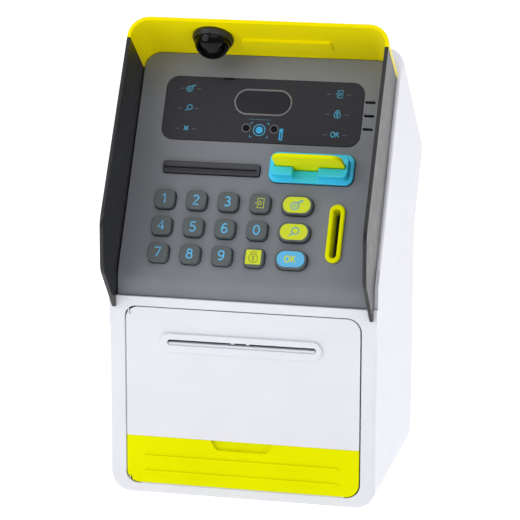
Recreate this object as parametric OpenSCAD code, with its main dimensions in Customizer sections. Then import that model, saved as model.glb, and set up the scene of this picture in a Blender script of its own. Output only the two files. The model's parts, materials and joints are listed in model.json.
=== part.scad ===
// Toy cash machine savings bank: a coin and banknote box with a keypad,
// a card reader and a driven note feeder.
// Side view: y runs to the rear from the face of the door, z runs up from the underside of the body.
// Panel frame: x across, s up the leaning panel from its bend, h out of the panel.

/* [Body] */
// Width of the body across its side faces
body_w = 140; // [139:0.5:141]
// Depth of the upright lower body
base_d = 117.5; // [116:0.5:120]
// Radius of the long edges, seen from the front
body_r = 10; // [9:0.5:12]
// Radius around the rear edges
rear_r = 6; // [4:0.5:7]
// Wall thickness of the body mouldings
wall = 2.4; // [2:0.1:2.6]
// Height of the top of the front frame
sill_z = 105.6; // [105:0.1:106]
// Height at which the front starts to lean back
bend_z = 117.1; // [115:0.1:118]
// Angle that the upper body leans back
lean = 30; // [28:0.5:32]
// Distance of the upper front behind the door face
inset_y = 2.9; // [2.6:0.1:3.4]
// Depth of the leaning upper body, square to the panel
upper_d = 97; // [94:0.5:99]
// Fall of the top towards the rear, from square to the panel
top_fall = 11; // [9:0.5:13]
// Height of the rubber feet
foot_h = 1; // [0.5:0.1:2]

/* [Hood] */
// Thickness of the fins and the visor
hood_t = 2; // [1.6:0.1:2.2]
// Distance of the hood inside the body's side faces
hood_in = 1.7; // [1.6:0.1:1.9]
// Outer radius of the visor's corners
hood_r = 11; // [10:0.5:12]
// Height up the panel of the seam between fins and visor
seam_s = 112.2; // [112:0.1:113]
// Angle of the visor's lower edge above level
visor_a = 37.4; // [36:0.1:39]
// Rise of the visor's roof over its lower edge, as an angle
roof_rise = 1.5; // [0:0.1:2]
// Reach of the visor in front of the panel
visor_l = 33.7; // [33:0.1:35]
// Lean of the hood's front edge
edge_lean = 32.7; // [31:0.1:34]
// Length of the leaning part of a fin's front edge
edge_l = 101; // [98:0.5:102]

/* [Panel] */
// Length of the leaning panel
panel_l = 121.2; // [121:0.1:121.3]
// Thickness of the panel
panel_t = 2.4; // [2:0.1:2.6]
// Height of the panel face over the body's front edge
panel_proud = 1; // [0.8:0.1:1.2]
// Width of the scanner window
window_w = 105; // [100:0.5:106]
// Height of the scanner window up the panel
window_l = 34.8; // [33:0.1:35]
// Width of a number key
key_w = 10.6; // [10:0.1:11]
// Length of a key up the panel
key_l = 10; // [9.5:0.1:10.5]
// Width of a wide key
wide_key_w = 16.5; // [16:0.1:17]
// Height of the key tops over the panel frame's zero
key_top = 4.2; // [3.6:0.1:4.6]
// Travel of a key
key_travel = 1.2; // [0.8:0.1:1.3]
// Width of the coin opening
coin_w = 3.4; // [3:0.1:3.6]
// Length of the coin opening
coin_l = 26; // [24:0.5:26.5]
// Width of the toy bank card
card_w = 36.3; // [35:0.1:36.6]
// Thickness of the toy bank card
card_t = 1.9; // [1.6:0.1:2]

/* [Door] */
// Half width of the door
door_x = 61.6; // [61:0.1:61.8]
// Height of the door's lower edge
door_z0 = 5.7; // [5.5:0.1:6]
// Height of the door's upper edge
door_z1 = 100.2; // [99:0.1:100.4]
// Corner radius of the door
door_r = 7; // [6:0.5:8]
// Height of the top of the yellow lower trim
trim_z = 31; // [28:0.5:33]
// Radius of the round hinge edge
barrel_r = 1.4; // [1.3:0.05:1.5]
// Radius of the hinge pin
pin_r = 0.6; // [0.5:0.05:0.7]
// Height of the note slot
note_z = 82.7; // [82:0.1:84]
// Width of the note slot
note_w = 78; // [76:0.5:78.5]
// Distance of the feed shafts behind the door face
feed_y = 17; // [17:0.1:18]
// Radius of the rubber tyres on the feed shafts
tyre_r = 5.5; // [5.3:0.1:5.5]
// Radius of the feed shafts
shaft_r = 1.5; // [1.2:0.1:1.6]

/* [Hidden] */
$fn = 48;
half_w = body_w / 2;
in_x = half_w - wall;
fin_x = half_w - hood_in;
ridge_m = 10;                                   // depth of the ridge behind the panel
front_top_s = seam_s + hood_r + 1;              // top of the body's front edge
ridge_s = front_top_s + 8.4;                    // top of the ridge
arc_n = 6;                                      // steps in a rounded corner of a lofted ring
joint_y = base_d - rear_r + 0.5;                // parting between shell and rear cover, lower body
joint_m = upper_d - rear_r + 0.5;               // the same, upper body
lofted_top_z = bend_z + 8;
rest_gap = 0.2;

// Front edge of the fins, as (y, z)
seam_pt = [inset_y + seam_s * sin(lean), bend_z + seam_s * cos(lean)];
edge_top = seam_pt + visor_l * [-cos(visor_a), sin(visor_a)];
edge_bend = edge_top - edge_l * [sin(edge_lean), cos(edge_lean)];

// The origin lies under the middle of the whole object
knee_m = upper_d - rear_r + rear_r * sin(60);
knee_y = inset_y + (top_s(knee_m) - rear_r / 2) * sin(lean) + knee_m * cos(lean);
mid_y = (edge_bend[0] + knee_y) / 2;

// Keys: name, x, s, width
col_x = [-45.4, -28.6, -11.9, 4.9, 24.3];
row_s = [39.9, 25.5, 11];
KEYS = [
    ["key_1", col_x[0], row_s[0], key_w], ["key_2", col_x[1], row_s[0], key_w],
    ["key_3", col_x[2], row_s[0], key_w], ["key_enter", col_x[3], row_s[0], key_w],
    ["key_coin", col_x[4], row_s[0], wide_key_w],
    ["key_4", col_x[0], row_s[1], key_w], ["key_5", col_x[1], row_s[1], key_w],
    ["key_6", col_x[2], row_s[1], key_w], ["key_0", col_x[3], row_s[1], key_w],
    ["key_search", col_x[4], row_s[1], wide_key_w],
    ["key_7", col_x[0], row_s[2], key_w], ["key_8", col_x[1], row_s[2], key_w],
    ["key_9", col_x[2], row_s[2], key_w], ["key_bag", col_x[3], row_s[2], key_w],
    ["key_ok", col_x[4], row_s[2], wide_key_w],
];
key_gap = 0.25;
key_r = 3;
wide_key_r = 4.6;
flange_t = 1.3;
panel_back = panel_proud - panel_t;
flange_top = panel_back - rest_gap;
mat_top = flange_top - flange_t - key_travel - 0.1;
board_top = mat_top - 1.2;

// Places on the panel
window_s = 90.7;
coin_x = 45.4;
coin_s = 26.3;
reader_x = 29.5;
reader_s = 60.3;
card_x = 29.9;
card_s = 60.05;
card_top = 23.5;
card_end = -3.2;
ticket_x = -23.2;
ticket_s = 57.9;
vent_s = [98, 90.6, 83.3];
boss_x = 61.5;
boss_s = [22, 104];
board_boss = [[-53, 68], [4, 68], [-54, 3.4], [37, 3.4]];

// Places on the visor, along its reach
dome_x = -26.5;
dome_l = 20;
dome_r = 9.4;
dome_drop = 2.8;

// Hinge, lock and feeder
hinge_x = -door_x + barrel_r;
hinge_y = barrel_r;
bolt_x = 57;
bolt_y = 11.5;
keeper_z = 45;
bolt_rest_z = 43.5;
gear_m = 0.8;
drive_teeth = 30;
pinion_teeth = 12;
sync_teeth = 14;
drive_z = note_z - tyre_r - 0.1;
pinch_z = drive_z + gear_m * sync_teeth;
motor_a = -40;
motor_c = gear_m * (drive_teeth + pinion_teeth) / 2;
motor_y = feed_y + motor_c * cos(motor_a);
motor_z = drive_z + motor_c * sin(motor_a);
tyres = [[-16, 8.5], [-0.5, 5], [15.5, 9]];
side_x = 45;

// Battery box, speaker, screws
cell_r = 7.1;
cell_x = [-15, 0, 15];
case_w = 52;
case_z0 = 12;
case_z1 = 70;
case_y = 96;
speaker_z = 97.5;
speaker_r = 18;
screw_x = 60.5;
screw_z = [16, 104];
screw_s = 96;
foot_y = [16, 101];

// ---- helpers ----

function top_s(m) = m < ridge_m
    ? front_top_s + (ridge_s - front_top_s) * sin(90 * m / ridge_m)
    : ridge_s - (m - ridge_m) * tan(top_fall);
function turn(a) = a - 360 * floor((a + 180) / 360);
function arc(c, r, a0, a1, n = arc_n) = [for (i = [0:n])
    let (a = a0 + (a1 - a0) * i / n) c + r * [cos(a), sin(a)]];
function fillet(p, q, s, r, n) = r == 0 ? [q] : let (
    u = (p - q) / norm(p - q),
    v = (s - q) / norm(s - q),
    h = acos(u * v) / 2,
    c = q + (u + v) / norm(u + v) * r / sin(h),
    t0 = q + u * r / tan(h) - c,
    t1 = q + v * r / tan(h) - c,
    a0 = atan2(t0[1], t0[0]))
    arc(c, r, a0, a0 + turn(atan2(t1[1], t1[0]) - a0), n);
// Closed outline through corners (x, y, radius)
function rounded(pts, n = 8) = let (k = len(pts)) [for (i = [0:k - 1]) let (
    p = pts[(i + k - 1) % k], q = pts[i], s = pts[(i + 1) % k])
    each fillet([p[0], p[1]], [q[0], q[1]], [s[0], s[1]], q[2], n)];
// Ring of one lofted section: bottom and top corner radii differ
function ring(x, y0, y1, rb, rt) = concat(
    arc([x - rb, y0 + rb], rb, -90, 0), arc([x - rt, y1 - rt], rt, 0, 90),
    arc([rt - x, y1 - rt], rt, 90, 180), arc([rb - x, y0 + rb], rb, 180, 270));

// Solid through rings of equal point count, first ring facing the viewer
module loft(rings) {
    n = len(rings[0]);
    last = (len(rings) - 1) * n;
    polyhedron(
        points = [for (r = rings) each r],
        faces = concat(
            [[for (i = [n - 1:-1:0]) i]],
            [for (j = [0:len(rings) - 2], i = [0:n - 1])
                [j * n + i, j * n + (i + 1) % n, (j + 1) * n + (i + 1) % n, (j + 1) * n + i]],
            [[for (i = [0:n - 1]) last + i]]));
}
module place() translate([0, -mid_y, foot_h]) children();
module on_panel() translate([0, inset_y, bend_z]) rotate([90 - lean, 0, 0]) children();
module on_visor() translate([0, seam_pt[0], seam_pt[1]]) rotate([90 - visor_a, 0, 0]) children();
module on_roof() on_visor() rotate([-roof_rise, 0, 0]) children();
// Side view outline (y, z) given a thickness across x
module across(x0, x1) translate([x0, 0, 0]) rotate([90, 0, 90]) linear_extrude(x1 - x0) children();
// Front view outline (x, z) given a depth from y0 to y1
module inward(y0, y1) translate([0, y1, 0]) rotate([90, 0, 0]) linear_extrude(y1 - y0) children();
module raised(h0, h1) translate([0, 0, h0]) linear_extrude(h1 - h0) children();
// Exact rounded rectangle around its centre
module pad(w, l, r) {
    square([w - 2 * r, l], center = true);
    square([w, l - 2 * r], center = true);
    for (x = [-1, 1], y = [-1, 1]) translate([x * (w / 2 - r), y * (l / 2 - r)]) circle(r);
}
module slot(w, l) {
    r = min(w, l) / 2;
    for (i = [-1, 1]) translate([i * max(w / 2 - r, 0), i * max(l / 2 - r, 0)]) circle(r);
    square([max(w - 2 * r, w > l ? 0 : w), max(l - 2 * r, w > l ? l : 0)], center = true);
}
module box(x0, x1, y0, y1, z0, z1) translate([x0, y0, z0]) cube([x1 - x0, y1 - y0, z1 - z0]);
module rod_x(y, z, r, x0, x1) translate([x0, y, z]) rotate([0, 90, 0]) cylinder(r = r, h = x1 - x0);
module rod_y(x, z, r, y0, y1) translate([x, y0, z]) rotate([-90, 0, 0]) cylinder(r = r, h = y1 - y0);
module rod_z(x, y, r, z0, z1) translate([x, y, z0]) cylinder(r = r, h = z1 - z0);

// ---- body ----

// Sections of the outer form: upright part, then leaning part
function front_steps() = [[0, 1.2], [0.35, 0.35], [1.2, 0]];
function rear_steps(d) = [for (a = [0:15:90]) [d - rear_r + rear_r * sin(a), rear_r * (1 - cos(a))]];
module lower_form() loft([for (k = concat(front_steps(), rear_steps(base_d)))
    [for (p = ring(half_w - k[1], k[1], lofted_top_z, body_r - k[1], 0.5)) [p[0], k[0], p[1]]]]);
module upper_form() on_panel() loft([
    for (k = concat([[0, 0.8], [0.8, 0], [2.5, 0], [5, 0], [7.5, 0], [ridge_m, 0]], rear_steps(upper_d)))
    [for (p = ring(half_w - k[1], -25, top_s(k[0]) - k[1], 0.5, body_r + 1.5 - k[1])) [p[0], p[1], -k[0]]]]);
module lower_room() inward(wall, base_d - wall)
    polygon(ring(in_x, wall, lofted_top_z + 4, body_r - wall, 0.5));
module upper_room() on_panel() loft([for (m = [-1, ridge_m, upper_d - wall])
    [for (p = ring(in_x, -3, top_s(max(m, 0)) - wall, 0.5, body_r + 1.5 - wall)) [p[0], p[1], -m]]]);
// Side view of everything behind the front faces
module front_cut(g) across(-half_w - 1, half_w + 1) polygon([
    [g, -5], [g, sill_z], [inset_y, sill_z], [inset_y, bend_z],
    [inset_y + 140 * sin(lean), bend_z + 140 * cos(lean)], [240, 240], [240, -5]]);
module rear_zone() {
    foot = [joint_y, bend_z + (joint_y - inset_y - joint_m * cos(lean)) / tan(lean) - joint_m * sin(lean)];
    across(-half_w - 1, half_w + 1) polygon([
        [joint_y, -5], foot, foot + 120 * [sin(lean), cos(lean)], [240, 240], [240, -5]]);
}
module body_form() intersection() {
    front_cut(0);
    union() {
        lower_form();
        upper_form();
    }
}
module rooms() {
    lower_room();
    upper_room();
}
// A screw post standing off the side wall, along y
module side_post(z, y0, y1) for (i = [-1, 1]) {
    rod_y(i * screw_x, z, 4, y0, y1);
    box(min(i * screw_x, i * (in_x + 0.5)), max(i * screw_x, i * (in_x + 0.5)), y0, y1, z - 4, z + 4);
}
module upper_post(m0, m1) on_panel() for (i = [-1, 1]) {
    translate([i * screw_x, screw_s, -m1]) cylinder(r = 4, h = m1 - m0);
    translate([i * (screw_x + 3.8), screw_s, -(m0 + m1) / 2]) cube([7.7, 8, m1 - m0], center = true);
}
module screw_lines(r, y0, y1) {
    for (i = [-1, 1], z = screw_z) rod_y(i * screw_x, z, r, y0, y1);
    on_panel() for (i = [-1, 1]) translate([i * screw_x, screw_s, -(upper_d + y1 - base_d)])
        cylinder(r = r, h = y1 - y0);
}

module main_shell() place() color("whitesmoke") difference() {
    union() {
        difference() {
            body_form();
            rooms();
            rear_zone();
            // doorway
            inward(-1, wall + 1) polygon(rounded([
                [-door_x - 0.3, door_z0 - 0.6, door_r - 1], [door_x + 0.8, door_z0 - 0.6, door_r + 0.6],
                [door_x + 0.8, door_z1 + 0.6, door_r + 0.6], [-door_x - 0.3, door_z1 + 0.6, door_r - 1]]));
            // slot for the visor's tongue
            on_panel() translate([0, seam_s + hood_r - hood_t / 2, 0])
                cube([61, hood_t + 0.5, 9], center = true);
        }
        for (z = screw_z) side_post(z, 96, joint_y - 0.1);
        upper_post(joint_m - 16, joint_m - 0.1);
        // lugs that the control panel is screwed to
        on_panel() for (i = [-1, 1], s = boss_s)
            translate([i * (boss_x + 1.3), s, -10.3]) cube([10.5, 10, 2.4], center = true);
    }
    rod_z(hinge_x, hinge_y, pin_r + 0.02, 3, 103);
    screw_lines(1.2, base_d - 19, base_d - 4);
    on_panel() for (i = [-1, 1], s = boss_s) translate([i * boss_x, s, -13]) cylinder(r = 1.6, h = 5);
}

module rear_cover() place() color("whitesmoke") difference() {
    union() {
        difference() {
            intersection() {
                body_form();
                translate([0, 0.1, 0]) rear_zone();
            }
            rooms();
        }
        for (z = screw_z) intersection() {
            side_post(z, joint_y + 0.1, base_d - 1);
            inward(0, base_d) square([2 * in_x + 0.4, 300], center = true);
        }
        upper_post(joint_m + 0.1, upper_d - 1);
    }
    screw_lines(1.6, base_d - 12, base_d + 1);
    screw_lines(3.1, base_d - 1.8, base_d + 1);
    // battery opening with a rebate for its cover
    inward(base_d - wall - 1, base_d + 1) translate([0, (case_z0 + case_z1) / 2]) pad(47, 53, 2);
    inward(base_d - 1.2, base_d + 1) translate([0, (case_z0 + case_z1) / 2]) pad(53, 59, 3);
    // sound holes
    for (r = [0:2], k = [0:max(6 * r - 1, 0)]) {
        a = r == 0 ? 0 : 60 * k / r;
        rod_y(5 * r * cos(a), speaker_z + 5 * r * sin(a), 1.2, base_d - wall - 1, base_d + 1);
    }
}

module feet() place() color("dimgray") for (x = [-52, 52], y = foot_y) rod_z(x, y, 7, -foot_h, 0);

// ---- hood ----

module fin_plate() {
    b = edge_bend;
    across(fin_x - hood_t, fin_x) polygon(rounded([
        [-0.1, 99.9, 0], [-0.1, sill_z + 0.1, 0],
        [inset_y - 0.1, sill_z + 0.1, 0], [inset_y - 0.1, bend_z, 0],
        [seam_pt[0] - 0.12, seam_pt[1], 0], [edge_top[0], edge_top[1], 0],
        [b[0], b[1], 14], [b[0], 124.4, 9], [-1.2, 99.9, 1]]));
    // tongue behind the body's front edge
    on_panel() translate([fin_x - hood_t, 6, -4]) cube([1, seam_s - 12, 4.4]);
}
module fin_left() place() color("#232327") mirror([1, 0, 0]) fin_plate();
module fin_right() place() color("#232327") fin_plate();

module visor() place() color("#e6e100") {
    difference() {
        on_roof() translate([0, 0, -12]) linear_extrude(visor_l + 24) difference() {
            translate([0, hood_r - 20]) pad(2 * fin_x, 40, hood_r);
            translate([0, hood_r - hood_t - 20]) pad(2 * (fin_x - hood_t), 40, hood_r - hood_t);
        }
        // lower edge on the fins
        on_visor() translate([0, 0.05 - 30, 0]) cube([200, 60, 200], center = true);
        // rear end against the panel, front end along the fins' edge
        on_panel() translate([0, 100, -49.9]) cube([200, 200, 100], center = true);
        translate([0, edge_top[0], edge_top[1]]) rotate([90 - edge_lean, 0, 0])
            translate([-100, -100, 0]) cube([200, 200, 100]);
    }
    on_panel() translate([-30, seam_s + hood_r - hood_t + 0.1, -8]) cube([60, hood_t - 0.2, 9]);
    // raised pad under the visor
    on_roof() translate([11.6, hood_r - hood_t, 14.8]) rotate([90, 0, 0])
        translate([0, 0, -0.3]) linear_extrude(1.5) pad(47.4, 8, 1.5);
}

module dome_ring() place() color("#1a1a1c") on_roof() translate([dome_x, hood_r - hood_t, dome_l])
    rotate([90, 0, 0]) difference() {
        union() {
            cylinder(r = 10.7, h = 2);
            cylinder(r1 = 10.3, r2 = 10, h = 3.6);
        }
        translate([0, 0, -1]) cylinder(r = dome_r + 0.1, h = 6);
    }
module dome_cover() place() color("#101012") on_roof() translate([dome_x, hood_r - hood_t, dome_l])
    rotate([90, 0, 0]) difference() {
        translate([0, 0, dome_drop]) sphere(r = dome_r);
        translate([0, 0, dome_drop]) sphere(r = dome_r - 1);
        translate([-15, -15, -20]) cube([30, 30, 20]);
    }
module camera_core() place() color("#303236") on_roof() translate([dome_x, hood_r - hood_t, dome_l])
    rotate([90, 0, 0]) {
        translate([0, 0, 0.1]) cylinder(r = 6.5, h = 3);
        cylinder(r = 3, h = 7.5);
    }

// ---- control panel ----

function corner(k) = k[3] > key_w ? wide_key_r : key_r;
module on_key(k) on_panel() translate([k[1], k[2], 0]) children();
module reader_neck(g) translate([card_x, card_s]) square([card_w + 2.5 + g, card_t + 3.6 + g], center = true);

module control_panel() place() color("#80828a") difference() {
    union() {
        intersection() {
            across(-66, 66) polygon(rounded([
                [inset_y - panel_proud, sill_z + 0.2, 0.4],
                [inset_y - panel_proud, bend_z + panel_proud * tan(lean / 2), 16],
                concat([inset_y, bend_z] + panel_l * [sin(lean), cos(lean)]
                    + panel_proud * [-cos(lean), sin(lean)], [0.4]),
                concat([inset_y, bend_z] + panel_l * [sin(lean), cos(lean)]
                    + panel_back * [-cos(lean), sin(lean)], [0]),
                [inset_y - panel_back, bend_z + panel_back * tan(lean / 2), 13.6],
                [inset_y - panel_back, sill_z + 0.2, 0]]));
            on_panel() translate([0, panel_l - 100, -20]) linear_extrude(40)
                pad(132, 200, hood_r - hood_t - 0.1);
        }
        on_panel() {
            for (i = [-1, 1], s = boss_s) translate([i * boss_x, s, -9])
                cylinder(r = 3, h = 9 + panel_back + 0.2);
            for (b = board_boss) translate([b[0], b[1], board_top])
                cylinder(r = 2.2, h = panel_back - board_top + 0.2);
        }
    }
    on_panel() {
        for (k = KEYS) translate([k[1], k[2], -4]) linear_extrude(8)
            pad(k[3] + 2 * key_gap, key_l + 2 * key_gap, corner(k) + key_gap);
        translate([0, window_s]) raised(0, 2) pad(window_w + 0.3, window_l + 0.3, 6.5);
        translate([0, 95.3]) raised(-4, 2) slot(27, 10);
        for (x = [-7.7, 7.1]) translate([x, 80.8, -4]) cylinder(r = 1.9, h = 6);
        translate([coin_x, coin_s]) raised(-4, 4) slot(coin_w + 2.6, coin_l + 2.8);
        raised(-4, 4) reader_neck(0.3);
        translate([ticket_x, ticket_s]) raised(-4, 4) square([48.8, 4.3], center = true);
        for (s = vent_s) translate([56.1, s]) raised(-4, 4) slot(5.3, 1.3);
        for (i = [-1, 1], s = boss_s) translate([i * boss_x, s, -9.5]) cylinder(r = 1, h = 9);
        for (b = board_boss) translate([b[0], b[1], board_top - 1]) cylinder(r = 0.8, h = 4);
    }
}

module window_lens() place() color("#3a3a44") on_panel() translate([0, window_s, 0]) difference() {
    raised(0.05, 1.2) pad(window_w, window_l, 6.3);
    translate([0, 4.6]) raised(-1, 2) slot(31, 14.6);
    for (x = [-7.7, 7.1]) translate([x, -9.9, -1]) cylinder(r = 1.9, h = 3);
}
module scan_bezel() place() color("#77777d") on_panel() translate([0, window_s + 4.6, 0]) difference() {
    raised(0.05, 1.9) slot(30.9, 14.5);
    raised(-1, 3) slot(28.9, 12.5);
}
module scan_glass() place() color("#15151a") on_panel() translate([0, window_s + 4.6, 0]) {
    raised(0.05, 0.9) slot(28.8, 12.4);
    for (x = [-7.7, 7.1]) translate([x, -14.5, 0.05]) cylinder(r = 1.8, h = 0.7);
}
module scan_module() place() color("#2c2f33") on_panel() difference() {
    raised(-9, panel_back - 0.1) translate([0, 91]) square([40, 27], center = true);
    for (x = [-7.7, 7.1]) translate([x, 80.8, -4]) cylinder(r = 1.4, h = 6);
}

module key(k) place() color("#5a6263") on_key(k) {
    raised(flange_top - flange_t, key_top) pad(k[3], key_l, corner(k));
    raised(flange_top - flange_t, flange_top) pad(k[3] + 2.2, key_l + 2.2, 1.2);
}
module key_mat() place() color("#c9c9cc") on_panel() difference() {
    union() {
        translate([0, 0, board_top + 0.02]) linear_extrude(0.6) translate([-10.6, row_s[1]])
            square([89, 44.4], center = true);
        for (k = KEYS) translate([k[1], k[2], board_top + 0.1])
            cylinder(r = 3.4, h = mat_top - board_top - 0.1);
    }
    for (b = board_boss) translate([b[0], b[1], board_top - 1]) cylinder(r = 2.6, h = 4);
}
module main_board() place() color("#1f6b45") on_panel() difference() {
    translate([-57, 0.5, board_top - 1.6]) cube([97, 72, 1.6]);
    for (b = board_boss) translate([b[0], b[1], board_top - 3]) cylinder(r = 1, h = 4);
}

module coin_bezel() place() color("#e2e600") on_panel() translate([coin_x, coin_s, 0]) difference() {
    union() {
        raised(panel_proud + 0.05, 3) slot(8.1, 31);
        raised(-8, panel_proud + 0.1) slot(coin_w + 2.2, coin_l + 2.4);
    }
    raised(-9, 4) slot(coin_w, coin_l);
}
module coin_chute() place() color("#d8d8da") on_panel() translate([coin_x, coin_s, 0]) difference() {
    union() {
        raised(-26, panel_back - 0.1) square([8.4, 31.4], center = true);
        for (s = [-4.6, 4.6]) translate([6.2, s, -12]) cube([4.2, 1.2, 4], center = true);
    }
    raised(-27, 2) square([6.2, 29.2], center = true);
    translate([4, 0, -19.3]) cube([3, 6, 5], center = true);
    translate([5.7, 0, -12]) rotate([90, 0, 0]) cylinder(r = 0.8, h = 14, center = true);
}
module coin_lever() place() color("#a8a8ac") on_panel() translate([coin_x, coin_s, 0]) {
    translate([5.7, 0, -12]) rotate([90, 0, 0]) cylinder(r = 0.75, h = 10.4, center = true);
    translate([6, 0, -16]) cube([1.2, 6.6, 9.2], center = true);
    translate([4.3, 0, -19.3]) cube([4.6, 4, 1.4], center = true);
}

module card_reader() place() color("#3cbde0") on_panel() difference() {
    union() {
        translate([reader_x, reader_s]) raised(panel_proud + 0.05, 3) pad(44.2, 16.4, 4.3);
        translate([29.4, 60.05]) raised(2.5, 9) pad(40.4, 11.9, 3);
        raised(-4.4, 2) reader_neck(0);
    }
    translate([card_x, card_s]) raised(-3.5, 10) square([card_w + 0.6, card_t + 0.5], center = true);
    translate([27.6, 56]) raised(3, 10) square([13.2, 6], center = true);
}
module bank_card() place() color("#dfe000") on_panel() translate([card_x, card_s + card_t / 2, 0])
    rotate([90, 0, 0]) linear_extrude(card_t) intersection() {
        translate([0, card_top - 20]) pad(card_w, 40, 6);
        translate([-card_w / 2, card_end]) square([card_w, 40]);
    }
module ticket_slot() place() color("#4a4b50") on_panel() translate([ticket_x, ticket_s, 0]) difference() {
    union() {
        raised(panel_proud + 0.05, 2.7) pad(51.4, 6.4, 1.4);
        raised(-3.2, 2) square([48.5, 4], center = true);
    }
    translate([-25, 0, 0]) rotate([90, 0, 90]) linear_extrude(49.4)
        polygon([[-2.65, 2.8], [-2.65, 2.7], [-0.3, 2], [-0.3, 1.1], [0.4, 1.1], [2.65, 2.7], [2.65, 2.8]]);
    raised(-4, 3) square([46, 0.5], center = true);
}

// ---- door ----

module door_outline() translate([0, (door_z0 + door_z1) / 2]) pad(2 * door_x, door_z1 - door_z0, door_r);
module door_form(t, z0, z1) difference() {
    intersection() {
        inward(-1, 10) door_outline();
        union() {
            box(hinge_x, door_x, 0, t, z0, z1);
            rod_z(hinge_x, hinge_y, barrel_r, z0, z1);
        }
    }
    rod_z(hinge_x, hinge_y, pin_r + 0.08, -1, 200);
    hinge_relief();
    translate([0, 0, door_z0 + door_z1]) mirror([0, 0, 1]) hinge_relief();
}
// Clears the frame's corner as the hinge edge turns past it
module hinge_relief() difference() {
    box(hinge_x - 2, hinge_x + 1.6, -1, hinge_y, door_z0 + 1.3, door_z0 + 4.1);
    translate([hinge_x, hinge_y, door_z0 + 1.3]) cylinder(r1 = 0.05, r2 = 0.72, h = 1);
    translate([hinge_x, hinge_y, door_z0 + 2.3]) cylinder(r1 = 0.72, r2 = barrel_r + 0.05, h = 1.8);
}
module door() place() color("whitesmoke") difference() {
    union() {
        door_form(2.6, trim_z + 0.1, door_z1 + 1);
        // rims behind the skin, and the plate that carries the trim
        box(-50, 58, 2.5, 6, 97.6, 99.2);
        box(59.2, 60.8, 2.5, 6, 33, 93);
        box(-50, 58, 2.5, 5, trim_z + 0.5, 38);
        box(-50, 58, 3.4, 5, 10, 38);
    }
    inward(-1, 4) translate([0, note_z]) slot(note_w + 2.6, 5.2);
}
module door_trim() place() color("#ebf000") difference() {
    union() {
        door_form(3.2, door_z0 - 1, trim_z);
        for (z = [19.7, 11.4]) inward(-0.6, 0.5) translate([-0.5, z]) slot(103.5, 2.3);
    }
    // finger notch below the door's lower edge
    inward(-1, 2) polygon(rounded([
        [-17.2, trim_z + 1, 0], [-13.6, 25.6, 3], [13.2, 25.6, 3], [16.6, trim_z + 1, 0]]));
}
module bill_bezel() place() color("white") difference() {
    union() {
        inward(-1.3, 0) translate([-0.5, note_z - 0.2]) slot(85.2, 9.8);
        inward(-0.5, 3.2) translate([0, note_z]) slot(note_w + 2.2, 4.8);
    }
    inward(-2, 4) translate([0, note_z]) slot(note_w, 2.8);
}
module hinge_pin() place() color("silver") rod_z(hinge_x, hinge_y, pin_r, 3.1, 102.9);

// ---- lock ----

module lock_body() place() color("#8b8f96") difference() {
    union() {
        box(bolt_x - 6.5, bolt_x + 6.5, bolt_y - 5, bolt_y + 5, 12, 34);
        box(bolt_x, in_x - 0.05, bolt_y + 3, bolt_y + 5, 12, 34);
    }
    rod_z(bolt_x, bolt_y, 2.1, 17, 36);
}
module lock_bolt() place() color("silver") {
    rod_z(bolt_x, bolt_y, 2, 18, bolt_rest_z);
    rod_z(bolt_x, bolt_y, 3.3, 39.2, 40.2);
}
// Angle on the door that the bolt engages
module lock_keeper() place() color("silver") difference() {
    union() {
        box(51, 58.9, 2.65, 4.2, keeper_z - 5, keeper_z + 2.5);
        box(53, 58.9, 4.1, 6.4, keeper_z, keeper_z + 2.5);
        box(53, 60.6, 6.3, 15.7, keeper_z, keeper_z + 2.5);
    }
    box(bolt_x - 2.6, bolt_x + 2.6, bolt_y - 2.6, bolt_y + 2.6, keeper_z - 1, keeper_z + 4);
}
module lock_spring() place() color("silver") difference() {
    rod_z(bolt_x, bolt_y, 3.2, 34.05, 39);
    rod_z(bolt_x, bolt_y, 2.4, 30, 42);
}

// ---- note feeder on the door ----

function inv(rb, r) = let (a = acos(min(rb / r, 1))) tan(a) * 180 / PI - a;
function gear_outline(teeth, play = 0.16) = let (
    rp = gear_m * teeth / 2,
    rb = rp * cos(20),
    ro = rp + 0.9 * gear_m,
    rr = rp - 1.2 * gear_m,
    half = 90 / teeth - play / rp * 90 / PI + inv(rb, rp),
    flank = [for (i = [0:4]) max(rb, rr) + (ro - max(rb, rr)) * i / 4])
    [for (t = [0:teeth - 1]) let (a = 360 * t / teeth) each concat(
        [rr * [cos(a - half), sin(a - half)]],
        [for (r = flank) let (b = a - half + inv(rb, r)) r * [cos(b), sin(b)]],
        [for (i = [4:-1:0]) let (r = flank[i], b = a + half - inv(rb, r)) r * [cos(b), sin(b)]],
        [rr * [cos(a + half), sin(a + half)]])];
module gear(y, z, teeth, phase, x0, x1, bore) difference() {
    across(x0, x1) translate([y, z]) rotate(phase) polygon(gear_outline(teeth));
    rod_x(y, z, bore, x0 - 1, x1 + 1);
}

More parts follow.
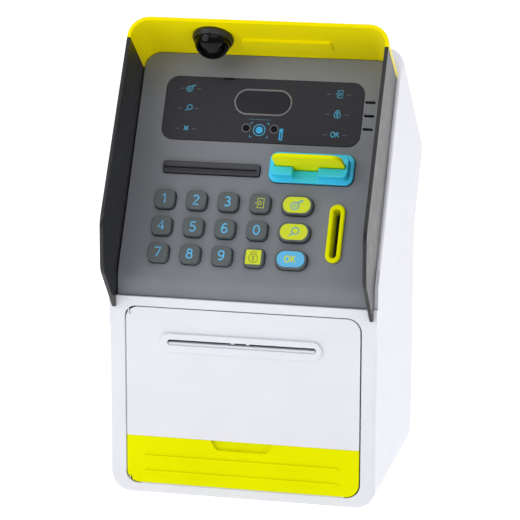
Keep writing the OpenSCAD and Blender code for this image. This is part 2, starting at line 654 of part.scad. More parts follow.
module feeder_frame() place() color("#e4e4e8") difference() {
    union() {
        box(-side_x - 2, side_x + 2, 3.35, 5, 70, 97);
        across(side_x, side_x + 2) polygon(rounded([
            [3.4, 70, 1], [26, 70, 3], [26, 97, 3], [3.4, 97, 1]]));
        across(-side_x - 2, -side_x) polygon(rounded([
            [3.4, 70, 1], [14, 70, 2], [19, 55, 2], [41, 55, 3],
            [41, 79, 3], [26, 84, 3], [26, 97, 3], [3.4, 97, 1]]));
        box(-side_x, side_x, 22, 24, 92.5, 96.5);
        box(-side_x, side_x, 5, 8, 70, 72);
    }
    inward(3, 6) translate([0, note_z]) slot(note_w + 3, 5.4);
    for (z = [drive_z, pinch_z]) rod_x(feed_y, z, shaft_r + 0.06, -60, 60);
    rod_x(motor_y, motor_z, 3, -60, 0);
}
module feed_motor() place() color("#b9bcc2") difference() {
    union() {
        intersection() {
            rod_x(motor_y, motor_z, 10, -side_x + 0.05, -18);
            translate([0, 0, motor_z]) cube([200, 200, 15.4], center = true);
        }
        rod_x(motor_y, motor_z, 2.8, -side_x - 1.6, -side_x + 1);
        rod_x(motor_y, motor_z, 2.6, -18.5, -16.5);
    }
    rod_x(motor_y, motor_z, 1.05, -50, -side_x + 2);
}
module motor_pinion() place() color("#b5903a") {
    gear(motor_y, motor_z, pinion_teeth, motor_a + 180 + 180 / pinion_teeth, -52, -48.5, 0.9);
    rod_x(motor_y, motor_z, 1, -53, -side_x + 1.6);
}
module tyre_set(z) difference() {
    for (t = tyres) rod_x(feed_y, z, tyre_r, t[0] - t[1] / 2, t[0] + t[1] / 2);
    rod_x(feed_y, z, shaft_r, -60, 60);
}
module drive_shaft() place() color("silver") rod_x(feed_y, drive_z, shaft_r, -53, 53);
module pinch_shaft() place() color("silver") rod_x(feed_y, pinch_z, shaft_r, -48.2, 53);
module drive_tyres() place() color("#202020") tyre_set(drive_z);
module pinch_tyres() place() color("#202020") tyre_set(pinch_z);
module drive_gears() place() color("white") {
    gear(feed_y, drive_z, drive_teeth, motor_a, -52, -48.5, shaft_r);
    gear(feed_y, drive_z, sync_teeth, 90, 48.5, 51.5, shaft_r);
}
module pinch_gear() place() color("white")
    gear(feed_y, pinch_z, sync_teeth, 270 + 180 / sync_teeth, 48.5, 51.5, shaft_r);

// ---- power, sound and fasteners ----

module battery_case() place() color("#303134") difference() {
    box(-case_w / 2, case_w / 2, case_y, base_d - wall - 0.1, case_z0, case_z1);
    box(-case_w / 2 + 1.6, case_w / 2 - 1.6, case_y + 1.6, base_d, case_z0 + 1.6, case_z1 - 1.6);
}
module battery_cells() place() color("#3c6e3c") for (x = cell_x) {
    rod_z(x, case_y + 9, cell_r, case_z0 + 3, case_z0 + 52);
    rod_z(x, case_y + 9, 2.7, case_z0 + 51.9, case_z0 + 53.4);
}
module battery_cover() place() color("whitesmoke") translate([0, 0, (case_z0 + case_z1) / 2]) {
    inward(base_d - 1.15, base_d) pad(52.4, 58.4, 2.8);
    inward(base_d - wall + 0.1, base_d - 1.1) pad(46.4, 52.4, 1.8);
}
module speaker() place() color("#26262a") {
    rod_y(0, speaker_z, speaker_r, base_d - wall - 3.1, base_d - wall - 0.1);
    rod_y(0, speaker_z, 9, base_d - wall - 11, base_d - wall - 3);
}
module screws() place() color("#9a9aa0") {
    screw_lines(1.15, base_d - 17, base_d - 1.5);
    screw_lines(2.9, base_d - 1.75, base_d - 0.3);
    on_panel() for (i = [-1, 1], s = boss_s) {
        translate([i * boss_x, s, -12]) cylinder(r = 0.95, h = 8);
        translate([i * boss_x, s, -13.4]) cylinder(r = 2.6, h = 1.8);
    }
}

main_shell();
rear_cover();
control_panel();
fin_left();
fin_right();
visor();
feet();
window_lens();
scan_bezel();
scan_glass();
scan_module();
dome_ring();
dome_cover();
camera_core();
key_mat();
main_board();
coin_bezel();
coin_chute();
coin_lever();
card_reader();
bank_card();
ticket_slot();
door();
door_trim();
bill_bezel();
hinge_pin();
lock_body();
lock_bolt();
lock_spring();
lock_keeper();
feeder_frame();
feed_motor();
motor_pinion();
drive_shaft();
drive_tyres();
drive_gears();
pinch_shaft();
pinch_tyres();
pinch_gear();
battery_case();
battery_cells();
battery_cover();
speaker();
screws();
for (k = KEYS) key(k);
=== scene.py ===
"""Looks, printed marks, light and camera for the toy cash machine savings bank.

Everything is in metres in the row frame. Lengths written in millimetres are turned
into metres by MM. Places on the leaning panel are given as (x, s, h): across, up the
slope from the panel's bend, and out of the panel.
"""

import json
import math

import bpy
from mathutils import Matrix, Vector


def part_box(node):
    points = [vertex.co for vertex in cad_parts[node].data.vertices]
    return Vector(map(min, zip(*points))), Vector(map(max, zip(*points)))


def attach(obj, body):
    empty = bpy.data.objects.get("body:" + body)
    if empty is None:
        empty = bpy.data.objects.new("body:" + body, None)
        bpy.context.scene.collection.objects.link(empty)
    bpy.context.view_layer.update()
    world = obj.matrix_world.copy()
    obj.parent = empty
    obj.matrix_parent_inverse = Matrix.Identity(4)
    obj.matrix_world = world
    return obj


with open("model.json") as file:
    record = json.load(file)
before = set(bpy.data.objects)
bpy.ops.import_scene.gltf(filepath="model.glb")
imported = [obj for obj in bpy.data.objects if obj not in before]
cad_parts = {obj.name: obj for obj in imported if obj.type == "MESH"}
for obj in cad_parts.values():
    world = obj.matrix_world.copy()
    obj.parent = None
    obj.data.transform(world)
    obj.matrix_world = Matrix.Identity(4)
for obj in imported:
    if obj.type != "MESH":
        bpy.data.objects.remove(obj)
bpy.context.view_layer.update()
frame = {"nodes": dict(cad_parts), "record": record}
NODES = frame["nodes"]
MM = 0.001

# ---- frames that the pieces are placed in ----

LEAN = math.radians(30)
PANEL_INSET = 2.9 * MM
PANEL_BEND = 117.1 * MM
FRONT_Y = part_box("door")[0].y
BASE_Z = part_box("main_shell")[0].z
ACROSS = Vector((1, 0, 0))
UPSLOPE = Vector((0, math.sin(LEAN), math.cos(LEAN)))
OUTWARD = Vector((0, -math.cos(LEAN), math.sin(LEAN)))


def frame_matrix(origin, x, y, z):
    """Matrix that takes local coordinates to the row frame."""
    return Matrix.Translation(origin) @ Matrix((x, y, z)).transposed().to_4x4()


PANEL = frame_matrix(Vector((0, FRONT_Y + PANEL_INSET, BASE_Z + PANEL_BEND)), ACROSS, UPSLOPE, OUTWARD)


def panel_box(node):
    """Lowest and highest corner of a CAD node in the panel's frame."""
    inverse = PANEL.inverted()
    points = [inverse @ v.co for v in NODES[node].data.vertices]
    return [Vector([f(p[i] for p in points) for i in range(3)]) for f in (min, max)]


# ---- materials ----


def srgb(r, g, b):
    """Linear colour of an sRGB colour given as 0 to 255."""
    shares = (r / 255, g / 255, b / 255)
    return tuple(c / 12.92 if c <= 0.04045 else ((c + 0.055) / 1.055) ** 2.4 for c in shares)


class Tree:
    """A material's nodes, with short calls to add and link them."""

    def __init__(self, name):
        self.material = bpy.data.materials.new(name)
        self.material.use_nodes = True
        self.nodes = self.material.node_tree.nodes
        self.links = self.material.node_tree.links
        self.shader = self.nodes["Principled BSDF"]
        self.place = self.add("ShaderNodeTexCoord").outputs["Object"]

    def add(self, kind, inputs=None, **settings):
        node = self.nodes.new(kind)
        for key, value in settings.items():
            setattr(node, key, value)
        for key, value in (inputs or {}).items():
            if isinstance(value, bpy.types.NodeSocket):
                self.links.new(value, node.inputs[key])
            else:
                node.inputs[key].default_value = value
        return node

    def noise(self, size, detail=2.0):
        """Noise with features of about the given size in metres."""
        settings = {"Vector": self.place, "Scale": 1 / size, "Detail": detail}
        return self.add("ShaderNodeTexNoise", settings).outputs["Fac"]

    def spread(self, value, low, high):
        """Noise mapped to run from low to high."""
        return self.add(
            "ShaderNodeMapRange",
            {"Value": value, "From Min": 0.3, "From Max": 0.7, "To Min": low, "To Max": high},
        ).outputs["Result"]

    def shade(self, colour, factor):
        """Base colour multiplied by a varying grey factor."""
        grey = self.add("ShaderNodeCombineXYZ", {i: factor for i in range(3)}).outputs[0]
        tone = self.add("ShaderNodeVectorMath", {0: tuple(colour), 1: grey}, operation="MULTIPLY")
        self.links.new(tone.outputs[0], self.shader.inputs["Base Color"])

    def gloss(self, value):
        self.links.new(value, self.shader.inputs["Roughness"])

    def bump(self, height, distance):
        node = self.add("ShaderNodeBump", {"Height": height, "Distance": distance, "Strength": 1.0})
        self.links.new(node.outputs["Normal"], self.shader.inputs["Normal"])

    def set(self, **values):
        for key, value in values.items():
            self.shader.inputs[key.replace("_", " ")].default_value = value


def plastic(
    name,
    colour,
    rough,
    grain=0.25 * MM,
    depth=0.004 * MM,
    mottle=0.03,
    coat=0.0,
    specular=0.5,
    tint=(1, 1, 1),
):
    """Moulded plastic: a fine spark-eroded grain, faint flow marks in colour and gloss."""
    t = Tree(name)
    t.set(Specular_IOR_Level=specular, Specular_Tint=(*tint, 1), Coat_Weight=coat, Coat_Roughness=0.08)
    t.shade(colour, t.spread(t.noise(18 * MM), 1 - mottle, 1 + mottle))
    t.gloss(t.spread(t.noise(6 * MM, 3.0), rough * 0.9, rough * 1.1))
    t.bump(t.noise(grain, 3.0), depth)
    return t.material


def rubber(name, colour):
    """Matt rubber with a coarse grain and dust in its colour."""
    t = Tree(name)
    t.set(Specular_IOR_Level=0.3, Sheen_Weight=0.2, Sheen_Roughness=0.5)
    t.shade(colour, t.spread(t.noise(2 * MM, 4.0), 0.8, 1.3))
    t.gloss(t.spread(t.noise(0.8 * MM), 0.6, 0.85))
    t.bump(t.noise(0.3 * MM, 4.0), 0.02 * MM)
    return t.material


def metal(name, colour, rough, along=(1, 1, 1)):
    """Metal with drawn or turned marks: along stretches the noise in each direction."""
    t = Tree(name)
    t.set(Metallic=1.0)
    scaled = t.add("ShaderNodeVectorMath", {0: t.place, 1: along}, operation="MULTIPLY").outputs[0]
    marks = t.add("ShaderNodeTexNoise", {"Vector": scaled, "Scale": 4000, "Detail": 3.0}).outputs["Fac"]
    t.shade(colour, t.spread(marks, 0.85, 1.1))
    t.gloss(t.spread(marks, rough * 0.7, rough * 1.3))
    t.bump(marks, 0.004 * MM)
    return t.material


FINISHES = {
    "body_white": plastic("body_white", srgb(232, 233, 241), 0.34, depth=0.002 * MM, mottle=0.012),
    "panel_grey": plastic("panel_grey", srgb(122, 125, 133), 0.42, depth=0.006 * MM),
    "hood_black": plastic("hood_black", srgb(15, 15, 22), 0.33, depth=0.003 * MM, specular=0.56),
    "bank_yellow": plastic(
        "bank_yellow",
        srgb(236, 238, 0),
        0.36,
        depth=0.003 * MM,
        mottle=0.02,
        specular=0.15,
        tint=(1, 1, 0.02),
    ),
    "reader_blue": plastic("reader_blue", srgb(52, 214, 255), 0.38, depth=0.003 * MM),
    "key_grey": plastic("key_grey", srgb(84, 92, 94), 0.5, grain=0.2 * MM, depth=0.006 * MM),
    "window_dark": plastic("window_dark", srgb(44, 44, 53), 0.3, depth=0.0005 * MM, specular=0.25),
    "bezel_grey": plastic("bezel_grey", srgb(112, 112, 118), 0.35),
    "glass_black": plastic("glass_black", srgb(4, 4, 5), 0.07, depth=0.0003 * MM, specular=0.2),
    "trim_black": plastic("trim_black", srgb(30, 30, 33), 0.35),
    "slot_grey": plastic("slot_grey", srgb(52, 53, 60), 0.35),
    "rubber_grey": rubber("rubber_grey", srgb(150, 150, 154)),
    "rubber_black": rubber("rubber_black", srgb(30, 30, 31)),
    "board_green": plastic("board_green", srgb(24, 98, 62), 0.3, coat=0.4),
    "inner_white": plastic("inner_white", srgb(216, 216, 218), 0.45),
    "steel": metal("steel", (0.62, 0.62, 0.64), 0.22, (1, 1, 0.05)),
    "lock_zinc": metal("lock_zinc", (0.45, 0.46, 0.48), 0.4),
    "brass": metal("brass", (0.78, 0.58, 0.24), 0.25),
    "cell_jacket": plastic("cell_jacket", srgb(36, 110, 52), 0.25, coat=0.5),
}
# Colours of single nodes that differ a little from the others in their slot
HOOD_YELLOW = plastic(
    "hood_yellow",
    srgb(255, 238, 0),
    0.4,
    depth=0.003 * MM,
    mottle=0.02,
    specular=0.22,
    tint=(1, 0.9, 0.02),
)
SCAN_BLACK = plastic("scan_black", srgb(41, 41, 49), 0.16, depth=0.0003 * MM, specular=0.3)
CARD_YELLOW = plastic("card_yellow", srgb(238, 244, 0), 0.4, depth=0.003 * MM, mottle=0.02, specular=0.02)
INKS = {
    "ink_blue": plastic("ink_blue", srgb(92, 190, 240), 0.45, mottle=0.02),
    "ink_yellow": plastic("ink_yellow", srgb(214, 226, 10), 0.45, mottle=0.02),
    "ink_screen_blue": plastic("ink_screen_blue", srgb(66, 164, 206), 0.4, mottle=0.02),
    "ink_bright": plastic("ink_bright", srgb(40, 172, 232), 0.4, mottle=0.02),
    "ink_dim_yellow": plastic("ink_dim_yellow", srgb(160, 170, 40), 0.45, mottle=0.02),
    "ink_dim_blue": plastic("ink_dim_blue", srgb(58, 96, 114), 0.4, mottle=0.02),
    "ink_ring": plastic("ink_ring", srgb(128, 128, 132), 0.3, mottle=0.02),
    "ink_grey": plastic("ink_grey", srgb(100, 102, 110), 0.4, mottle=0.02),
    "ink_black": plastic("ink_black", srgb(12, 12, 14), 0.4, mottle=0.02, specular=0.1),
}

# ---- finish of the CAD nodes ----

WELD = 0.002 * MM
BEVEL_ANGLE = math.radians(38)
BEVEL_SEGMENTS = 3
# Widths of the rounded edges, mm
BEVELS = {
    "rear_cover": 0.4,
    "control_panel": 0.3,
    "fin_left": 0.35,
    "fin_right": 0.35,
    "visor": 0.3,
    "bill_bezel": 0.45,
    "window_lens": 0.15,
    "scan_bezel": 0.3,
    "dome_ring": 0.3,
    "coin_bezel": 0.7,
    "card_reader": 0.6,
    "bank_card": 0.35,
    "ticket_slot": 0.3,
    "battery_cover": 0.3,
    "feet": 0.25,
}
KEY_BEVEL = 0.5
OTHER_BEVEL = 0.15
UNBEVELLED = ("main_shell", "door", "door_trim")  # their long thin faces would fold over at a bevel
SPLIT_ANGLE = math.radians(30)


def finish_node(name, width):
    """Joins the CAD mesh's split corners, then rounds its sharp edges or parts them cleanly."""
    node = NODES[name]
    node.data.polygons.foreach_set("use_smooth", [True] * len(node.data.polygons))
    weld = node.modifiers.new("weld", "WELD")
    weld.merge_threshold = WELD
    if name in UNBEVELLED:
        crease = node.modifiers.new("edges", "EDGE_SPLIT")
        crease.split_angle = SPLIT_ANGLE
        crease.use_edge_sharp = False
    else:
        bevel = node.modifiers.new("edges", "BEVEL")
        bevel.width = width * MM
        bevel.segments = BEVEL_SEGMENTS
        bevel.limit_method = "ANGLE"
        bevel.angle_limit = BEVEL_ANGLE
        bevel.use_clamp_overlap = False
        bevel.loop_slide = False
    node.modifiers.new("shading", "WEIGHTED_NORMAL").keep_sharp = True


OWN_FINISH = {"visor": HOOD_YELLOW, "bank_card": CARD_YELLOW, "scan_glass": SCAN_BLACK}
for part in frame["record"]["subparts"]:
    name = part["node"]
    NODES[name].data.materials.clear()
    NODES[name].data.materials.append(OWN_FINISH.get(name, FINISHES[part["material_slot"]]))
    is_cap = name.startswith("key_") and name != "key_mat"
    finish_node(name, KEY_BEVEL if is_cap else BEVELS.get(name, OTHER_BEVEL))

# ---- printed marks ----

PRINT = 0.03  # height of ink over the surface, mm


def to_mesh(obj, name):
    """Turns a curve or text object into a mesh object in the row frame."""
    bpy.context.scene.collection.objects.link(obj)
    bpy.context.view_layer.update()
    graph = bpy.context.evaluated_depsgraph_get()
    mesh = bpy.data.meshes.new_from_object(obj.evaluated_get(graph))
    mesh.transform(obj.matrix_world)
    made = bpy.data.objects.new(name, mesh)
    bpy.context.scene.collection.objects.link(made)
    bpy.data.objects.remove(obj)
    return made


def printed(name, curve, matrix, ink, body):
    """Ink in the shape of a curve drawn in millimetres, riding on a body."""
    obj = to_mesh(bpy.data.objects.new(name + "_curve", curve), name)
    obj.data.transform(matrix @ Matrix.Scale(MM, 4))
    obj.data.materials.clear()
    obj.data.materials.append(ink)
    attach(obj, body)
    return obj


def shapes(loops):
    """Flat filled curve through closed loops of (x, y) points; inner loops are holes."""
    curve = bpy.data.curves.new("shape", "CURVE")
    curve.dimensions = "2D"
    curve.fill_mode = "BOTH"
    curve.extrude = PRINT / 2
    for loop in loops:
        spline = curve.splines.new("POLY")
        spline.points.add(len(loop) - 1)
        for point, (x, y) in zip(spline.points, loop):
            point.co = (x, y, 0, 1)
        spline.use_cyclic_u = True
    return curve


def strokes(lines, width):
    """Round lines of ink, flattened to the ink's height: each line is (points, closed)."""
    curve = bpy.data.curves.new("strokes", "CURVE")
    curve.dimensions = "3D"
    curve.bevel_depth = width / 2
    curve.bevel_resolution = 2
    curve.use_fill_caps = True
    for points, closed in lines:
        spline = curve.splines.new("POLY")
        spline.points.add(len(points) - 1)
        for point, (x, y) in zip(spline.points, points):
            point.co = (x, y, 0, 1)
        spline.use_cyclic_u = closed
    return curve


def circle(r, x=0.0, y=0.0, start=0.0, end=360.0, steps=32):
    full = end - start >= 360
    count = steps if full else steps + 1
    return [
        (x + r * math.cos(a), y + r * math.sin(a))
        for a in (math.radians(start + (end - start) * i / steps) for i in range(count))
    ]


def oval(w, h, x=0.0, y=0.0, start=0.0, end=360.0, steps=20):
    """Points on an ellipse of half width w and half height h; a whole one leaves out its last point."""
    count = steps if end - start == 360 else steps + 1
    angles = [math.radians(start + (end - start) * i / steps) for i in range(count)]
    return [(x + w * math.cos(a), y + h * math.sin(a)) for a in angles]


def rounded(w, h, r, x=0.0, y=0.0, steps=6):
    """Closed outline of a rounded rectangle."""
    corners = [(1, -1, -90), (1, 1, 0), (-1, 1, 90), (-1, -1, 180)]
    return [
        (x + i * (w / 2 - r) + r * math.cos(a), y + j * (h / 2 - r) + r * math.sin(a))
        for i, j, start in corners
        for a in (math.radians(start + 90 * k / steps) for k in range(steps + 1))
    ]


# Icons as lists of (points, closed) lines about their centre, for an icon about 5 mm across
ICONS = {
    "coin": [
        (circle(1.75, -0.8, -0.5), True),
        (circle(0.8, -0.8, -0.5, steps=4), True),
        ([(0.6, 0.4), (2.4, 1.7), (1.9, 2.2), (0.2, 0.9)], False),
        ([(2.4, 1.7), (2.9, 2.1)], False),
    ],
    "search": [(circle(1.55, 0.7, 0.5), True), ([(-0.45, -0.6), (-2.0, -1.9)], False)],
    "enter": [
        ([(-1.0, 0.9), (-1.0, 2.3), (2.0, 2.3), (2.0, -2.3), (-1.0, -2.3), (-1.0, -0.9)], False),
        ([(-2.2, 0.0), (-0.2, 0.0)], False),
        (circle(0.85, 0.0, 0.0, -125, 125, 14), False),
    ],
    "bag": [
        (circle(1.9, 0, -0.5), True),
        ([(-0.9, 1.2), (-1.2, 2.1), (0.0, 2.5), (1.2, 2.1), (0.9, 1.2)], False),
        ([(0.7, 0.2), (0.0, 0.5), (-0.6, 0.1), (0.6, -0.9), (0.0, -1.4), (-0.7, -1.1)], False),
        ([(0, 0.9), (0, -1.8)], False),
    ],
    "cross": [([(-1.3, -1.3), (1.3, 1.3)], False), ([(-1.3, 1.3), (1.3, -1.3)], False)],
}


def at(x, s, h):
    """Matrix of a place on the panel, for marks drawn in millimetres."""
    return PANEL @ Matrix.Translation(Vector((x, s, h)) * MM)


def print_lines(name, lines, place, width, ink, body):
    """Round lines pressed flat to the height of print."""
    flat = Matrix.Diagonal((1, 1, PRINT / width, 1))
    printed(name, strokes(lines, width), place @ flat, ink, body)


def print_icon(name, kind, place, width, scale, ink, body, slot):
    lines = [([(x * scale, y * scale) for x, y in points], closed) for points, closed in ICONS[kind]]
    print_lines(name, lines, place, width, ink, body)


def key_top(node):
    low, high = panel_box(node)
    return at((low.x + high.x) / 2 / MM, (low.y + high.y) / 2 / MM, high.z / MM + PRINT / 2)


# Figures and letters as lines in a box 1 high, centred on (0, 0)
FIGURES = {
    "0": [(oval(0.31, 0.5), True)],
    "1": [([(-0.2, 0.3), (0.06, 0.5), (0.06, -0.5)], False)],
    "2": [(oval(0.27, 0.25, 0, 0.25, 165, -30) + [(-0.3, -0.5), (0.32, -0.5)], False)],
    "3": [
        (oval(0.25, 0.235, -0.02, 0.265, 150, -90) + [(-0.08, 0.03)], False),
        ([(-0.08, 0.03)] + oval(0.29, 0.265, -0.02, -0.235, 90, -150), False),
    ],
    "4": [([(0.16, -0.5), (0.16, 0.5), (-0.34, -0.22), (0.36, -0.22)], False)],
    "5": [([(0.26, 0.5), (-0.2, 0.5), (-0.24, 0.07)] + oval(0.3, 0.3, -0.02, -0.2, 112, -150), False)],
    "6": [
        (oval(0.29, 0.29, 0, -0.21), True),
        ([(0.24, 0.42)] + oval(0.36, 0.62, 0.07, -0.12, 80, 172), False),
    ],
    "7": [([(-0.31, 0.5), (0.31, 0.5), (-0.12, -0.5)], False)],
    "8": [(oval(0.24, 0.225, 0, 0.275), True), (oval(0.3, 0.275, 0, -0.225), True)],
    "9": [
        (oval(0.29, 0.29, 0, 0.21), True),
        ([(-0.24, -0.42)] + oval(0.36, 0.62, -0.07, 0.12, -100, -8), False),
    ],
    "O": [(oval(0.4, 0.5, -0.5), True)],
    "K": [
        ([(0.16, 0.5), (0.16, -0.5)], False),
        ([(0.72, 0.5), (0.16, -0.08)], False),
        ([(0.36, 0.1), (0.76, -0.5)], False),
    ],
}
FIGURE_HEIGHT = 4.8
FIGURE_LINE = 0.78


def print_figures(name, figures, place, height, width, ink, body, slot):
    """Plain figures or letters drawn with round lines."""
    lines = [
        ([(x * height, y * height) for x, y in points], closed)
        for figure in figures
        for points, closed in FIGURES[figure]
    ]
    print_lines(name, lines, place, width, ink, body)


for digit in range(10):
    key = f"key_{digit}"
    name = f"digit_{digit}"
    size = (FIGURE_HEIGHT, FIGURE_LINE)
    print_figures(name, str(digit), key_top(key), *size, INKS["ink_blue"], f"{key}_cap", "key_grey")

WIDE_STICKER = (14.3, 8.4, 4.0)  # width, height and corner radius, mm
BAG_STICKER = (8.0, 7.7, 0.7)
STICKER_LINE = 0.55
STICKER_SCALE = {"coin": 1.15, "search": 1.15, "bag": 1.2}
OK_HEIGHT = 3.3
OK_LINE = 0.7
OK_SHIFT = Matrix.Translation((-0.1 * MM, 0, 0))  # the letters' box is wider on its left
STICKERS = {
    "key_coin": ("ink_yellow", WIDE_STICKER, "coin", "ink_screen_blue"),
    "key_search": ("ink_yellow", WIDE_STICKER, "search", "ink_screen_blue"),
    "key_ok": ("ink_blue", WIDE_STICKER, None, "ink_yellow"),
    "key_bag": ("ink_yellow", BAG_STICKER, "bag", "ink_dim_yellow"),
}
for key, (ground, size, icon, ink) in STICKERS.items():
    place = key_top(key)
    body = f"{key}_cap"
    printed(f"{key}_sticker", shapes([rounded(*size)]), place, INKS[ground], body)
    raised = place @ Matrix.Translation((0, 0, PRINT * MM))
    if icon:
        size = (STICKER_LINE, STICKER_SCALE[icon])
        print_icon(f"{key}_mark", icon, raised, *size, INKS[ink], body, "key_grey")
    else:
        print_figures(f"{key}_mark", "OK", raised @ OK_SHIFT, OK_HEIGHT, OK_LINE, INKS[ink], body, "key_grey")
ENTER_SIZE = (0.4, 1.1)  # line width in mm and scale
enter_top = key_top("key_enter")
print_icon("key_enter_mark", "enter", enter_top, *ENTER_SIZE, INKS["ink_yellow"], "key_enter_cap", "key_grey")

# ---- marks on the scanner window ----

WINDOW_TOP = panel_box("window_lens")[1].z / MM


def window(x, s, layer=0):
    """Matrix of a place on the window; higher layers of ink lie over lower ones."""
    return at(x, s, WINDOW_TOP + PRINT * (0.5 + layer))


def window_shape(name, loops, x, s, ink, layer=0):
    printed(name, shapes(loops), window(x, s, layer), INKS[ink], "housing")


# Across each column of icons: its middle, and how far its two dashes lie from it, mm
COLUMNS = {"left": (-39.5, (-4.6, 4.3)), "right": (39.5, (-5.4, 4.9))}
ROWS = {"top": 101.7, "middle": 90.7, "bottom": 79.55}
DASH = (2.3, 0.28, 0.13)
DASH_DROP = 0.3
WINDOW_LINE = 0.46
CROSS_LINE = 0.8
WINDOW_SCALE = 0.85
WINDOW_ICONS = {
    ("left", "top"): "coin",
    ("left", "middle"): "search",
    ("left", "bottom"): "cross",
    ("right", "top"): "enter",
    ("right", "middle"): "bag",
    ("right", "bottom"): "OK",
}
for (side, row), kind in WINDOW_ICONS.items():
    x, dashes = COLUMNS[side]
    s = ROWS[row]
    ink = INKS["ink_screen_blue"]
    if kind == "OK":
        print_figures("window_ok", "OK", window(x, s), 2.6, 0.62, ink, "housing", "window_dark")
    else:
        size = (CROSS_LINE if kind == "cross" else WINDOW_LINE, WINDOW_SCALE)
        print_icon(f"window_{kind}", kind, window(x, s), *size, ink, "housing", "window_dark")
    for shift, end in zip(dashes, ("a", "b")):
        name = f"window_dash_{side}_{row}_{end}"
        window_shape(name, [rounded(*DASH)], x + shift, s - DASH_DROP, "ink_grey")

LENS_X = (-7.6, 7.25)
LENS_S = 81.05
for index, x in enumerate(LENS_X):
    window_shape(f"lens_ring_{index}", [circle(2.4), circle(1.95)], x, LENS_S, "ink_grey")
    window_shape(f"lens_pupil_{index}", [circle(1.55)], x, LENS_S, "ink_black")
TARGET = (-0.55, 80.2)
window_shape("target_disc", [circle(1.9)], *TARGET, "ink_bright")
window_shape("target_ring", [circle(3.3), circle(2.85)], *TARGET, "ink_screen_blue")
brackets = []
for i in (-1, 1):
    for j in (-1, 1):
        brackets.append(([(4.7 * i, 2.9 * j), (4.7 * i, 4.0 * j), (3.6 * i, 4.0 * j)], False))
BRACKET_LINE = 0.36
bracket_ink = INKS["ink_screen_blue"]
print_lines("target_brackets", brackets, window(*TARGET), BRACKET_LINE, bracket_ink, "housing")
window_shape("level_bar", [rounded(1.9, 6.4, 0.5), rounded(0.5, 4.0, 0.2, 0, -0.7)], 11.1, 78.3, "ink_bright")
window_shape("plain_line", [rounded(11.4, 0.4, 0.15)], -0.9, 85.9, "ink_dim_blue")
# Painted shade: a black patch standing in for the shadowed opening at the window's top edge
window_shape("notch_shade", [rounded(6.2, 0.9, 0.4)], -19.6, 107.6, "ink_black")

# ---- painted shade in the gaps around the parts that sit on the panel ----

PANEL_TOP = 1.0  # height of the panel's face, mm
# how far the painted shade line reaches out past the foot, mm
SHADE_OUTSET = 0.3


def joint_line(name, node, radius):
    """Thin black line of ink on the panel around the foot of a node that stands on it: painted shade for the
    shadowed gap there.
    """
    low, high = panel_box(node)
    middle = (low + high) / 2 / MM
    w, h = (high.x - low.x) / MM, (high.y - low.y) / MM
    loops = [rounded(w + 2 * grow, h + 2 * grow, radius + grow) for grow in (SHADE_OUTSET, -0.1)]
    place = at(middle.x, middle.y, PANEL_TOP + PRINT / 2)
    printed(name, shapes(loops), place, INKS["ink_black"], "housing")


# Painted shade: black rings standing in for the shadowed gaps round the card reader and the ticket slot
joint_line("reader_gap_shade", "card_reader", 4.3)
joint_line("ticket_gap_shade", "ticket_slot", 1.4)

# ---- sill strips beside the door, and the lip and teeth of the note slot ----


def bar(name, low, high, body, slot):
    """Moulded bar between two corners given in mm from the door's front face and the body's underside."""
    corners = [Vector(c) * MM + Vector((0, FRONT_Y, BASE_Z)) for c in (low, high)]
    xs, ys, zs = zip(*corners)
    points = [(x, y, z) for x in xs for y in ys for z in zs]
    faces = [(0, 1, 3, 2), (4, 6, 7, 5), (0, 4, 5, 1), (2, 3, 7, 6), (0, 2, 6, 4), (1, 5, 7, 3)]
    mesh = bpy.data.meshes.new(name)
    mesh.from_pydata(points, [], faces)
    mesh.materials.append(FINISHES[slot])
    obj = bpy.data.objects.new(name, mesh)
    bpy.context.scene.collection.objects.link(obj)
    edges = obj.modifiers.new("edges", "BEVEL")
    edges.width = 0.12 * MM
    edges.segments = 3
    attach(obj, body)
    return obj


door_low = (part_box("door_trim")[0] - Vector((0, FRONT_Y, BASE_Z))) / MM
door_top = (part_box("door")[1].z - BASE_Z) / MM
SILL_END = 7.5  # how far the strips stop short of the door's rounded corners
SIDE_END = 6.0
bar(
    "sill_strip",
    (door_low.x + SILL_END, 0.35, door_low.z - 0.58),
    (-door_low.x - SILL_END, 2.2, door_low.z - 0.08),
    "housing",
    "body_white",
)
bar(
    "hinge_strip",
    (door_low.x - 0.29, 0.7, door_low.z + SIDE_END),
    (door_low.x - 0.12, 1.3, door_top - SIDE_END),
    "housing",
    "body_white",
)
NOTE_Z = (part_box("bill_bezel")[0].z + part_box("bill_bezel")[1].z) / 2 - BASE_Z
LIP_LENGTH = 77.0
LIP_FOOT = NOTE_Z / MM - 1.15
LIP_HEIGHT = 1.2
SLOT_TOP = NOTE_Z / MM + 1.5
TOOTH = 0.8  # height of a tooth, and half its width
bar(
    "slot_lip",
    (-LIP_LENGTH / 2, -0.5, LIP_FOOT),
    (LIP_LENGTH / 2, 2.8, LIP_FOOT + LIP_HEIGHT),
    "door_leaf",
    "body_white",
)
for side, x in (("left", -4.7), ("right", 3.2)):
    low = (x - TOOTH, -0.2, SLOT_TOP - TOOTH)
    bar(f"slot_tooth_{side}", low, (x + TOOTH, 1.5, SLOT_TOP), "door_leaf", "body_white")

# ---- camera ----

AZIMUTH = math.radians(12.75)
ELEVATION = math.radians(13.8)
ROLL = math.radians(0.14)
DISTANCE = 1.2953
AIM = Vector((9.54 * MM, FRONT_Y, BASE_Z + 128.6 * MM))
LENS = 177.2


def aim_matrix(eye, target):
    """Rotation that points an object's -Z from one place to another."""
    return (target - eye).to_track_quat("-Z", "Y").to_matrix().to_4x4()


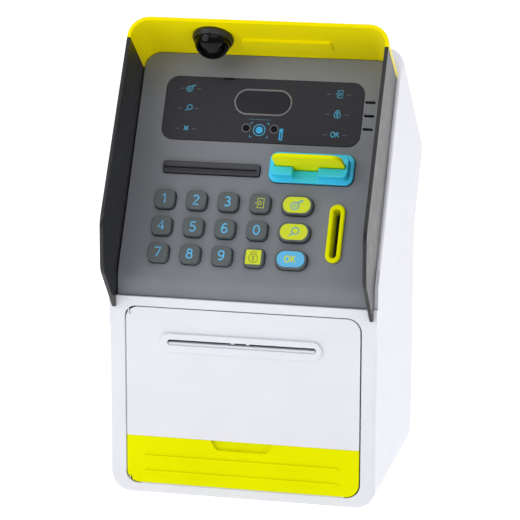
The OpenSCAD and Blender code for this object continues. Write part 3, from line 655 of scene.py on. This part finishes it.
back = Vector(
    (math.sin(AZIMUTH) * math.cos(ELEVATION), -math.cos(AZIMUTH) * math.cos(ELEVATION), math.sin(ELEVATION))
)
camera = bpy.data.objects.new("camera", bpy.data.cameras.new("camera"))
camera.data.lens = LENS
camera.data.sensor_width = 36
camera.data.clip_end = 20
eye = AIM + back * DISTANCE
camera.matrix_world = Matrix.Translation(eye) @ aim_matrix(eye, AIM) @ Matrix.Rotation(ROLL, 4, "Z")
bpy.context.scene.collection.objects.link(camera)
bpy.context.scene.camera = camera

# ---- floor and light ----

floor_mesh = bpy.data.meshes.new("floor")
FLOOR_SIZE = 6.0
floor_mesh.from_pydata(
    [(x * FLOOR_SIZE, y * FLOOR_SIZE, 0) for x, y in ((-1, -1), (1, -1), (1, 1), (-1, 1))], [], [(0, 1, 2, 3)]
)
floor = bpy.data.objects.new("floor", floor_mesh)
bpy.context.scene.collection.objects.link(floor)
floor_tree = Tree("floor_white")
floor_tree.set(Base_Color=(0.9, 0.9, 0.91, 1), Roughness=0.7)
floor_tree.set(Emission_Color=(1, 1, 1, 1), Emission_Strength=0.5)
floor_mesh.materials.append(floor_tree.material)

FRONT_DIM = 0.27  # the unlit room in front of the object
BACKDROP = 1.0  # the white paper behind it
FADE = (-0.06, 0.2)  # where the one turns into the other, as the y of a direction
LIGHT_AIM = 0.13  # height the lights are aimed at, metres
world = bpy.data.worlds.new("studio")
world.use_nodes = True
sky = world.node_tree.nodes
direction = sky.new("ShaderNodeTexCoord")
split = sky.new("ShaderNodeSeparateXYZ")
fade = sky.new("ShaderNodeMapRange")
for key, value in zip(("From Min", "From Max", "To Min", "To Max"), (*FADE, FRONT_DIM, BACKDROP)):
    fade.inputs[key].default_value = value
world.node_tree.links.new(direction.outputs["Generated"], split.inputs[0])
world.node_tree.links.new(split.outputs["Y"], fade.inputs["Value"])
world.node_tree.links.new(fade.outputs["Result"], sky["Background"].inputs["Strength"])
sky["Background"].inputs["Color"].default_value = (1, 1, 1, 1)
bpy.context.scene.world = world


def softbox(name, azimuth, elevation, distance, width, height, power):
    """Area light aimed at the middle of the object."""
    a, e = math.radians(azimuth), math.radians(elevation)
    target = Vector((0, 0, LIGHT_AIM))
    spot = target + distance * Vector((math.sin(a) * math.cos(e), -math.cos(a) * math.cos(e), math.sin(e)))
    light = bpy.data.lights.new(name, "AREA")
    light.shape = "RECTANGLE"
    light.size = width
    light.size_y = height
    light.energy = power
    obj = bpy.data.objects.new(name, light)
    obj.matrix_world = Matrix.Translation(spot) @ aim_matrix(spot, target)
    bpy.context.scene.collection.objects.link(obj)


softbox("left_box", azimuth=-42, elevation=30, distance=1.5, width=1.1, height=1.0, power=6.6)
softbox("right_box", azimuth=78, elevation=34, distance=1.5, width=1.2, height=1.0, power=0.5)
softbox("top_box", azimuth=24, elevation=58, distance=1.3, width=1.0, height=1.0, power=3.6)

scene = bpy.context.scene
scene.view_settings.view_transform = "Standard"
scene.cycles.use_denoising = True
